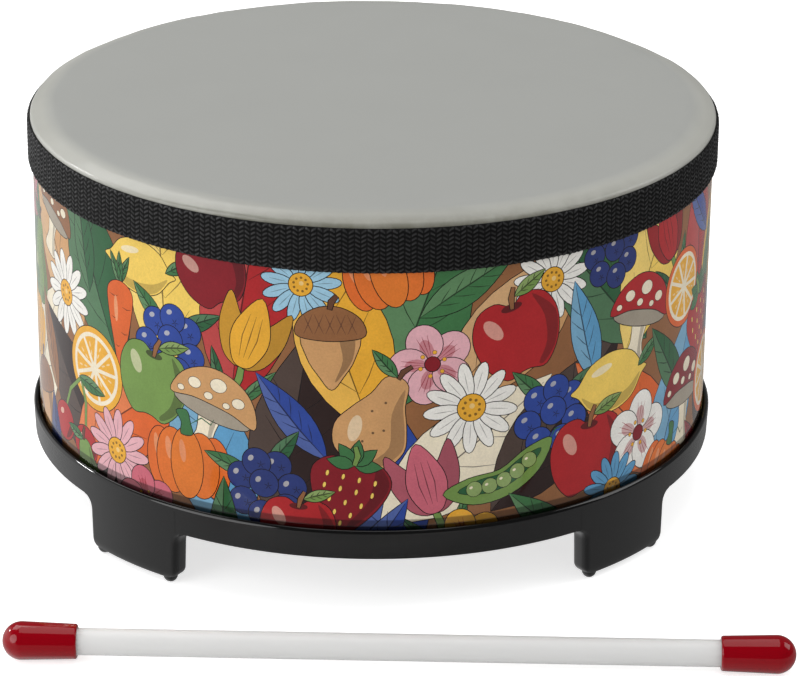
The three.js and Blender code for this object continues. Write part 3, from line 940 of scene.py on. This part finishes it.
def add_film_back(places, faces, low, high):
    """The film's edges and its plain back, one face to a column."""
    width = 2 * PERIOD
    slack = 10 * CUT_MARGIN
    sides = dict.fromkeys(side for face in faces for side in zip(face, face[1:] + face[:1]))

    def at_border(a, b):
        (x0, y0), (x1, y1) = places[a], places[b]
        return (max(y0, y1) < low.y + slack or min(y0, y1) > high.y - slack
                or max(x0, x1) < slack or min(x0, x1) > width - slack)

    rim_edges = [(a, b) for a, b in sides if (b, a) not in sides and at_border(a, b)]
    back = {v: len(places) + k for k, v in enumerate(dict.fromkeys(v for edge in rim_edges for v in edge))}
    places.extend([places[v] for v in back])
    faces.extend([b, a, back[a], back[b]] for a, b in rim_edges)
    rim = sorted(back, key=lambda v: places[v])
    for k in range(FILM_COLUMNS):
        left, right = width * k / FILM_COLUMNS, width * (k + 1) / FILM_COLUMNS
        near = [v for v in rim if left - slack < places[v][0] < right + slack]
        bottom = [v for v in near if places[v][1] < low.y + slack]
        top = [v for v in near if places[v][1] > high.y - slack]
        ends = [v for v in near if v not in bottom and v not in top]
        rising = sorted((v for v in ends if places[v][0] > width - slack), key=lambda v: places[v][1])
        falling = sorted((v for v in ends if places[v][0] < slack), key=lambda v: -places[v][1])
        loop = bottom + rising + top[::-1] + falling
        faces.append([back[v] for v in loop[::-1]])


def printed_film():
    """The wrap as a mosaic: every motif is a set of faces on the drum's curve, coloured corner by corner."""
    low = Vector((0, PRINT_FOOT))
    high = Vector((PERIOD, PRINT_TOP))
    places, faces, inks = laid_twice(*mosaic(printed_shapes(), low, high))
    outer_count = len(faces)
    outer_places = len(places)
    add_film_back(places, faces, low, high)
    inks.extend([CREAM] * (len(faces) - outer_count))

    turn_per_mm = (TURN - PRINT_SEAM / wrap_radius) / (2 * PERIOD)
    start = -math.pi + PRINT_SEAM / wrap_radius / 2
    radii = [wrap_radius] * outer_places + [wrap_radius - PRINTED_FILM] * (len(places) - outer_places)
    vertices = [around(radius, start + x * turn_per_mm, y * MM) for radius, (x, y) in zip(radii, places)]
    film = new_object("printed_film", vertices, faces)
    layer = film.data.color_attributes.new("ink", "FLOAT_COLOR", "CORNER")
    shades = {ink: linear(ink) for ink in set(inks)}
    layer.data.foreach_set("color", [c for ink, face in zip(inks, faces) for _ in face for c in shades[ink]])
    normals = []
    for face in film.data.polygons:
        for v in face.vertices:
            out = from_axis(film.data.vertices[v].co).normalized()
            normals.append(out if face.index < outer_count else face.normal)
    film.data.normals_split_custom_set(normals)
    return film


# The other pieces


def rim_profile(inset):
    """The head's turn from its flat face to its skirt: part of an ellipse, a slope, then a round shoulder."""
    start = head_radius - RIM_WIDTH
    points = []
    for i in range(RIM_STEPS + 1):
        share = RIM_ELLIPSE_SHARE * i / RIM_STEPS
        points.append((start + RIM_WIDTH * share, RIM_DEPTH * (1 - math.sqrt(1 - share * share))))
    centre = head_radius - SHOULDER_ROUND
    for i in range(RIM_STEPS + 1):
        turn = SHOULDER_START + (QUARTER - SHOULDER_START) * i / RIM_STEPS
        radius = centre + SHOULDER_ROUND * math.sin(turn)
        points.append((radius, SHOULDER_DROP - SHOULDER_ROUND * math.cos(turn)))
    top = head_high.z - inset
    return [(radius - inset * (radius - start) / RIM_WIDTH, top - drop) for radius, drop in points]


def shell_piece():
    inner = shell_radius - SHELL_WALL
    chamfer = 0.8 * MM
    low = shell_low.z
    profile = [(inner, low + chamfer), (inner + chamfer, low), (shell_radius - chamfer, low),
               (shell_radius, low + chamfer)]
    under_head = rim_profile(HEAD_FILM + GLUE_LINE)[::-1]
    profile += [(min(radius, shell_radius), height) for radius, height in under_head if radius > inner]
    profile.append((inner, profile[-1][1]))
    piece = turned("fibre_shell", profile, ROUND_STEPS, closed=True)
    sharpen(piece, 30)
    return piece


def head_piece():
    rim_centre = head_radius - RIM_WIDTH
    rim_height = head_high.z - RIM_DEPTH
    inside = rim_profile(HEAD_FILM)
    outside = rim_profile(0)[::-1]
    middle = [rim_centre * share for share in (0.97, 0.8, 0.6, 0.4, 0.2)]
    profile = [(0, head_high.z - HEAD_FILM)] + inside
    profile += [(head_radius - HEAD_FILM, head_low.z), (head_radius, head_low.z)] + outside
    profile += [(radius, head_high.z) for radius in middle] + [(0, head_high.z)]
    piece = turned("head_film", profile, ROUND_STEPS)
    for vertex in piece.data.vertices:
        spot = vertex.co
        out = math.hypot(spot.x - axis_x, spot.y - axis_y)
        turning = smoothstep(rim_centre - 2 * MM, rim_centre + 4 * MM, out)
        turning *= smoothstep(head_low.z, rim_height, spot.z)
        wave = noise.noise(spot * 45, noise_basis="PERLIN_ORIGINAL") + 0.5 * noise.noise(spot * 110)
        spot.z += RIM_WAVE * turning * min(0.0, wave - 0.35)
    sharpen(piece, 40)
    return piece


def webbing_piece():
    """Herringbone webbing: yarn floats that slant one way and the other in upright columns."""
    inner = band_radius - WEBBING_THICKNESS
    lap = WEBBING_LAP / inner
    ramp = WEBBING_RAMP / inner
    start = -math.pi - lap / 2
    end = math.pi + lap / 2
    low, high = band_low.z, band_high.z
    columns = 4 * YARN_COLUMNS
    rows = 6 * YARN_ROWS
    rng = random.Random(11)
    loose = [rng.uniform(-0.2, 0.2) for _ in range(YARN_COLUMNS + 1)]
    plump = [rng.uniform(0.8, 1.0) for _ in range(YARN_COLUMNS + 1)]
    sheen = [[rng.random() for _ in range(YARN_ROWS + 4)] for _ in range(YARN_COLUMNS + 1)]

    def inner_face(angle):
        """Its radius, which climbs onto the band's own start at the lap."""
        climb = WEBBING_THICKNESS + GLUE_LINE
        return inner + climb * smoothstep(end - lap - ramp, end - lap, angle)

    angles = [start + (end - start) * i / columns for i in range(columns + 1)]
    vertices = []
    weave = []
    for i, angle in enumerate(angles):
        base = inner_face(angle)
        number = i // 4
        across = i / 4 - number
        zigzag = across if number % 2 else 1 - across
        arch = math.sin(math.pi * across)
        crown = plump[number] * (0.35 + 0.65 * arch ** 0.6)
        scallop = SCALLOP * (1 - arch) * plump[number]
        foot = low + scallop
        brow = high + SELVEDGE_RISE - scallop
        for j in range(rows + 1):
            share = j / rows
            phase = share * YARN_ROWS + YARN_SLANT * zigzag + loose[number]
            wave = 0.5 + 0.5 * math.cos(TURN * phase)
            rise = wave ** 0.6 * crown
            edge = min(share, 1 - share) * (high - low)
            thinning = 1 - 0.5 * math.exp(-((edge / SELVEDGE_WIDTH) ** 2))
            face = (WEBBING_THICKNESS - YARN_RELIEF * (1 - rise)) * thinning
            vertices.append(around(base + face, angle, foot + (brow - foot) * share))
            weave.append((arch * plump[number], wave, sheen[number][int(phase + 1.5)], 1))
    back = len(vertices)
    for angle in angles:
        base = inner_face(angle)
        vertices.extend((around(base, angle, low), around(base, angle, high + SELVEDGE_RISE)))
        weave.extend(((0, 0, 0, 1), (0, 0, 0, 1)))

    stride = rows + 1
    faces = [(a, a + stride, a + stride + 1, a + 1)
             for i in range(columns) for a in range(i * stride, i * stride + rows)]
    for i in range(columns):
        front = i * stride
        a = back + 2 * i
        faces.append((a, a + 1, a + 3, a + 2))
        faces.append((front, a, a + 2, front + stride))
        faces.append((front + rows, front + stride + rows, a + 3, a + 1))
    for i, order in ((0, 1), (columns, -1)):
        loop = list(range(i * stride, i * stride + stride)) + [back + 2 * i + 1, back + 2 * i]
        faces.append(loop[::order])
    piece = new_object("webbing_band", vertices, faces)
    layer = piece.data.color_attributes.new("weave", "FLOAT_COLOR", "POINT")
    layer.data.foreach_set("color", [channel for value in weave for channel in value])
    return piece


def leg_plan(inner, outer, length, corner, inner_corner):
    """Plan of a leg: (place along the ring, radius) points, counter-clockwise from above."""
    half = length / 2

    def straight(start, end, radius):
        return [(start + (end - start) * i / LEG_SIDE_STEPS, radius) for i in range(1, LEG_SIDE_STEPS)]

    def corner_points(side, radius, size, start, end):
        points = arc(0, 0, size, size, start, end, LEG_CORNER_STEPS)
        return [(side * (half - size) + x, radius + y) for x, y in points]

    return (
        straight(corner - half, half - corner, outer)
        + corner_points(1, outer - corner, corner, QUARTER, 0)
        + corner_points(1, inner + inner_corner, inner_corner, 0, -QUARTER)
        + straight(half - inner_corner, inner_corner - half, inner)
        + corner_points(-1, inner + inner_corner, inner_corner, -QUARTER, -2 * QUARTER)
        + corner_points(-1, outer - corner, corner, 2 * QUARTER, QUARTER)
    )


def leg_body(middle):
    """One leg as a closed skin, from its foot up into the ring's floor."""
    outer = ring_foot
    inner = outer - LEG_THICKNESS
    angles = [QUARTER * i / LEG_CURVE_STEPS for i in range(LEG_CURVE_STEPS + 1)]
    plans = []
    for angle in angles:
        end_inset = LEG_END_DRAFT + LEG_FOOT_ROUND * (1 - math.sin(angle))
        face_inset = LEG_EDGE_ROUND * (1 - math.sin(angle))
        plan = leg_plan(inner + face_inset, outer - face_inset, LEG_LENGTH - 2 * end_inset,
                        LEG_CORNER - face_inset, LEG_INNER_CORNER - face_inset)
        plans.append((plan, NUB_HEIGHT + LEG_FOOT_ROUND * (1 - math.cos(angle))))
    for angle in angles:
        flare = LEG_ROOT_FILLET * (1 - math.cos(angle))
        plan = leg_plan(max(inner - flare, wall_inner + GLUE_LINE), outer, LEG_LENGTH + 2 * flare,
                        LEG_CORNER, LEG_INNER_CORNER)
        plans.append((plan, ring_under - LEG_ROOT_FILLET * (1 - math.sin(angle))))
    plans.append((plans[-1][0], ring_under + FLOOR_THICKNESS / 2))
    vertices = [around(radius, middle + along / outer, height)
                for plan, height in plans for along, radius in plan]
    count = len(plans[0][0])
    rows = [list(range(first, first + count)) for first in range(0, len(vertices), count)]
    return new_object("leg", vertices, skin(rows) + [rows[0][::-1], rows[-1]])


def nub_body(angle):
    """A low dome with a small flat, standing on the floor under a leg."""
    x, y, _ = around(ring_foot - NUB_FROM_FACE, angle, 0)

    def beside(radius, turn, height):
        return (x + radius * math.cos(turn), y + radius * math.sin(turn), height)

    start = -math.acos(NUB_FLAT_RADIUS / NUB_RADIUS)
    lift = NUB_HEIGHT * (1 + math.sin(start))
    dome = arc(0, NUB_HEIGHT, NUB_RADIUS, NUB_HEIGHT, start, 0, 8)
    dome = [(radius, (height - lift) * NUB_HEIGHT / (NUB_HEIGHT - lift)) for radius, height in dome]
    profile = [(0, 0)] + dome + [(NUB_RADIUS * math.cos(QUARTER / 2), NUB_HEIGHT * 2), (0, NUB_HEIGHT * 2)]
    return turned("nub", profile, 32, beside)


def joined(body, others):
    """The union of the body with each of the others, made once and applied."""
    for other in others:
        modifier = body.modifiers.new("join", "BOOLEAN")
        modifier.operation = "UNION"
        modifier.solver = "EXACT"
        modifier.object = other
    graph = bpy.context.evaluated_depsgraph_get()
    mesh = bpy.data.meshes.new_from_object(body.evaluated_get(graph))
    body.modifiers.clear()
    body.data = mesh
    for other in others:
        bpy.data.objects.remove(other)
    return body


def round_wall(piece, radius):
    """True round shading on the upright outer wall, whatever way its faces were cut."""
    mesh = piece.data
    normals = [tuple(corner.vector) for corner in mesh.corner_normals]
    for face in mesh.polygons:
        if abs(face.normal.z) > 0.06:
            continue
        outs = [from_axis(mesh.vertices[v].co) for v in face.vertices]
        if min(out.length for out in outs) > radius - 0.02 * MM:
            for loop, out in zip(face.loop_indices, outs):
                normals[loop] = tuple(out.normalized())
    mesh.normals_split_custom_set(normals)


def ring_piece():
    """Channel ring, legs and nubs in one moulding. Its outer wall gets the true round shading."""
    floor = ring_under + FLOOR_THICKNESS
    lip_inner = ring_radius - LIP_WALL
    wall_top = ring_under + INNER_WALL_HEIGHT
    lip_top = ring_high.z - LIP_ROUND
    slope = 2 / LIP_SLOPE_POWER
    profile = [(wall_inner, ring_under), (ring_foot - EDGE_ROUND, ring_under)]
    foot_edge = arc(ring_foot - EDGE_ROUND, ring_under + EDGE_ROUND, EDGE_ROUND, EDGE_ROUND, -QUARTER, 0, 3)
    profile += foot_edge[1:]
    for i in range(9):
        turn = QUARTER * i / 8
        across = LIP_SLOPE_WIDTH * (math.cos(turn) ** slope - 1)
        drop = LIP_SLOPE_DROP * (math.sin(turn) ** slope - 1)
        profile.append((ring_radius + across, ring_high.z + drop))
    profile += arc(lip_inner + LIP_ROUND, lip_top, LIP_ROUND, LIP_ROUND, QUARTER, 2 * QUARTER, 6)
    profile += [(lip_inner, floor), (wall_outer, floor), (wall_outer, wall_top - EDGE_ROUND)]
    profile += [(wall_outer - EDGE_ROUND, wall_top), (wall_inner, wall_top)]
    ring = turned("moulded_ring", profile, ROUND_STEPS, closed=True)
    parts = []
    for i in range(LEG_COUNT):
        middle = TURN * (i + 0.5) / LEG_COUNT
        reach = (LEG_LENGTH / 2 - NUB_FROM_END) / ring_foot
        parts.extend((leg_body(middle), nub_body(middle - reach), nub_body(middle + reach)))
    ring = joined(ring, parts)
    ring.data.shade_smooth()
    sharpen(ring, 35)
    round_wall(ring, ring_foot)
    return ring


def beater_frame():
    """The beater's middle and its direction, read from its two caps."""
    left, right = [(low + high) / 2 for low, high in cap_boxes]
    middle = (left + right) / 2
    along = (right - left).normalized()
    side = Vector((-along.y, along.x, 0))
    return middle, along, side


beater_middle, beater_along, beater_side = beater_frame()
cap_radius = cap_boxes[0][1].z / 2
shaft_half = (shaft_high - shaft_low).x / 2 / beater_along.x - SHAFT_RADIUS * abs(beater_along.y)
beater_half = shaft_half + CAP_END_WALL + CAP_FIT


def beside_beater(radius, angle, along):
    across = beater_side * (math.cos(angle) * radius)
    return tuple(beater_middle + beater_along * along + across + Vector((0, 0, math.sin(angle) * radius)))


def shaft_piece():
    bevel = 0.5 * MM
    profile = [(0, -shaft_half), (SHAFT_RADIUS - bevel, -shaft_half), (SHAFT_RADIUS, bevel - shaft_half)]
    profile += [(SHAFT_RADIUS, along * shaft_half) for along in (-0.6, -0.2, 0.2, 0.6)]
    profile += [(SHAFT_RADIUS, shaft_half - bevel), (SHAFT_RADIUS - bevel, shaft_half), (0, shaft_half)]
    piece = turned("white_rod", profile, 64, beside_beater)
    sharpen(piece, 35)
    return piece


def cap_piece(name, side):
    mouth = beater_half - CAP_LENGTH
    bore = SHAFT_RADIUS + CAP_FIT
    bore_end = beater_half - CAP_END_WALL
    lip = CAP_MOUTH_ROUND
    profile = [(0, bore_end), (bore, bore_end), (bore, mouth)]
    profile += arc(CAP_MOUTH_RADIUS - lip, mouth + lip, lip, lip, -QUARTER, 0, 6)
    profile += arc(0, beater_half - cap_radius, cap_radius, cap_radius, 0, QUARTER, 16)

    def place(radius, angle, along):
        return beside_beater(radius, side * angle, side * along)

    piece = turned(name, profile, 64, place)
    sharpen(piece, 40)
    return piece


# Assembly

black_plastic = black_plastic_material()
white_plastic = moulded_plastic("white_plastic", ROD_WHITE, 0.3, 0.02)
white_plastic.set(Subsurface_Weight=1.0, Subsurface_Radius=(1, 1, 1), Subsurface_Scale=0.007)
red_vinyl = moulded_plastic("red_vinyl", CAP_RED, 0.05, 0.04, 700.0, 0.002 * MM)
red_vinyl.set(Specular_IOR_Level=0.45)

dress(shell_piece(), "drum", "drum_shell", fibre_material())
dress(printed_film(), "drum", "shell_wrap", print_material())
dress(head_piece(), "drum", "drum_head", head_material())
dress(webbing_piece(), "drum", "head_band", webbing_material())
dress(ring_piece(), "drum", "base_ring", black_plastic)
dress(shaft_piece(), "beater", "beater_shaft", white_plastic.owner)
dress(cap_piece("red_cap_left", -1), "beater", "beater_cap_left", red_vinyl.owner)
dress(cap_piece("red_cap_right", 1), "beater", "beater_cap_right", red_vinyl.owner)


# Camera, floor and light


def add_camera():
    place = Vector(around(CAMERA_DISTANCE, CAMERA_AZIMUTH, CAMERA_HEIGHT))
    heading = CAMERA_YAW - CAMERA_AZIMUTH
    level = math.cos(CAMERA_PITCH)
    forward = Vector((math.sin(heading) * level, math.cos(heading) * level, -math.sin(CAMERA_PITCH)))
    right = Vector((math.cos(heading), -math.sin(heading), 0))
    up = right.cross(forward)
    turned_right = math.cos(CAMERA_ROLL) * right + math.sin(CAMERA_ROLL) * up
    turned_up = math.cos(CAMERA_ROLL) * up - math.sin(CAMERA_ROLL) * right
    data = bpy.data.cameras.new("camera")
    data.sensor_width = SENSOR_WIDTH
    data.lens = FOCAL_PIXELS * SENSOR_WIDTH / PHOTO_WIDTH
    data.clip_start = 0.01
    camera = added("camera", data)
    rotation = Matrix((turned_right, turned_up, -forward)).transposed()
    camera.matrix_world = Matrix.Translation(place) @ rotation.to_4x4()
    bpy.context.scene.camera = camera


def add_floor():
    """White under the drum, and clear to gloss, for which the world gives the light from below."""
    half = FLOOR_SIZE / 2
    corners = [(-half, -half, 0), (half, -half, 0), (half, half, 0), (-half, half, 0)]
    floor = new_object("floor", corners, [(0, 1, 2, 3)])
    nodes = new_nodes("studio_floor")
    path = nodes.add("ShaderNodeLightPath").outputs
    nodes.set(Base_Color=(FLOOR_SHADE, FLOOR_SHADE, FLOOR_SHADE, 1), Roughness=1.0, Specular_IOR_Level=0.0)
    nodes.set(Emission_Color=WHITE_LIGHT, Emission_Strength=nodes.times(path["Is Camera Ray"], FLOOR_GLOW))
    clear = nodes.add("ShaderNodeBsdfTransparent").outputs[0]
    either = nodes.add("ShaderNodeMixShader", {0: path["Is Glossy Ray"], 1: nodes.shader.outputs[0], 2: clear})
    nodes.feed(nodes.tree.nodes["Material Output"].inputs["Surface"], either.outputs[0])
    floor.data.materials.append(nodes.owner)


def add_world():
    """White where it is seen, soft as light, and for gloss a studio pale at the left and dark in front."""
    world = bpy.data.worlds.new("studio")
    bpy.context.scene.world = world
    nodes = Nodes(world, "Background")
    path = nodes.add("ShaderNodeLightPath").outputs
    way = nodes.split(nodes.add("ShaderNodeTexCoord").outputs["Generated"])
    walls = nodes.ranged(way["Y"], WORLD_FRONT_GLOSS, WORLD_BACK_GLOSS, -0.3, 0.5)
    left = nodes.ranged(way["X"], WORLD_LEFT_GLOSS, 0, -0.7, -0.5)
    left = nodes.times(left, nodes.ranged(way["Z"], 1, 0, 0.35, 0.65))
    turn = nodes.maths("ARCTAN2", way["X"], nodes.times(way["Y"], -1))
    ramp = nodes.add("ShaderNodeValToRGB", {0: nodes.ranged(turn, 0, 1, -math.pi, math.pi)})
    stops = ramp.color_ramp.elements
    between = [stops.new(0.5 + degrees / 360) for degrees, _ in FLOOR_GLOSS[1:-1]]
    for stop, (_, strength) in zip([stops[0]] + between + [stops[-1]], FLOOR_GLOSS):
        stop.color = (strength, strength, strength, 1)
    ground = nodes.add("ShaderNodeRGBToBW", {0: ramp.outputs[0]}).outputs[0]
    ground = nodes.times(ground, nodes.ranged(way["Z"], 1.5, 1, -0.8, -0.45))
    below = nodes.ranged(way["Z"], 1, 0, -0.04, 0.01)
    gloss = nodes.blend(below, nodes.maths("ADD", walls, left), ground)
    light = nodes.ranged(way["Y"], WORLD_FRONT_LIGHT, WORLD_BACK_LIGHT, -1, 1)
    lit = nodes.blend(path["Is Glossy Ray"], light, gloss)
    seen = nodes.maths("MAXIMUM", path["Is Camera Ray"], path["Is Transmission Ray"])
    nodes.set(Color=WHITE_LIGHT, Strength=nodes.blend(seen, lit, 1.0))


def add_panel(name, place, aim, width, height, power, shape="RECTANGLE"):
    data = bpy.data.lights.new(name, "AREA")
    data.shape = shape
    data.size = width
    data.size_y = height
    data.energy = power
    panel = added(name, data)
    panel.location = place
    panel.rotation_euler = (Vector(aim) - Vector(place)).to_track_quat("-Z", "Y").to_euler()


add_camera()
add_floor()
add_world()
add_panel("key_panel", (-0.9, 0.8, 1.7), DRUM_MIDDLE, 1.05, 1.05, 9.5)
add_panel("overhead_panel", (0.0, 0.27, 1.75), (0, 0.27, 0), 1.1, 1.9, 7.9)
add_panel("front_left_disc", (-1.4, -0.946, 0.78), DRUM_MIDDLE, 1.42, 1.42, 11.5, "DISK")
add_panel("left_back_strip", (-1.4, 0.62, 0.75), DRUM_MIDDLE, 0.28, 0.07, 4.2)
add_panel("right_box", (1.28, 0.1, 0.95), DRUM_MIDDLE, 0.8, 0.8, 4.6)
bpy.context.scene.view_settings.view_transform = "Standard"
